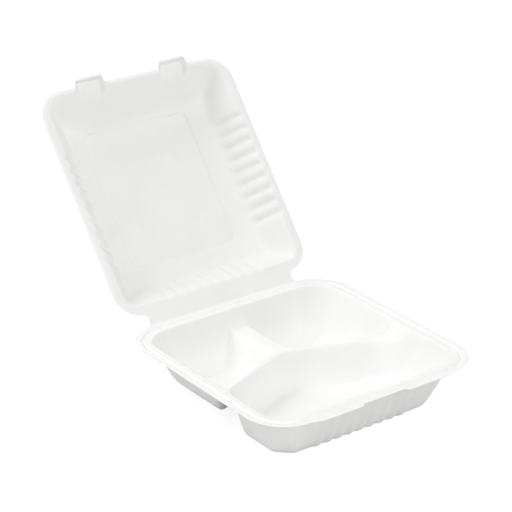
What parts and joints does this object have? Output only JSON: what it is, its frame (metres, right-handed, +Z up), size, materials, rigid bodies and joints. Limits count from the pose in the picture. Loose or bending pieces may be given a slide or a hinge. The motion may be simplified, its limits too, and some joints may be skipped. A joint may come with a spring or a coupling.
{
  "type": "hinged clamshell food container",
  "caption": "Moulded plant-fibre clamshell food container: a square tray with divided compartments and a ribbed, domed lid on a fold hinge, with front tabs.",
  "frame": {"origin": "middle of the tray's plan, on its flat underside", "axes": "+Z up, +X to the right seen from the front, +Y from the front edge to the hinge"},
  "size_m": [0.23, 0.3822, 0.233],
  "materials": {
    "fibre": "matte, white moulded plant fibre with a faint mesh grain"
  },
  "bodies": {
    "tray": {"tray": "fibre"},
    "lid": {"lid": "fibre"}
  },
  "joints": [
    {"name": "lid_hinge", "type": "hinge", "parent": "tray", "child": "lid", "pos_m": [0, 0.11415, 0.04665], "axis": [-1, 0, 0], "range_deg": [-129, 51]}
  ]
}
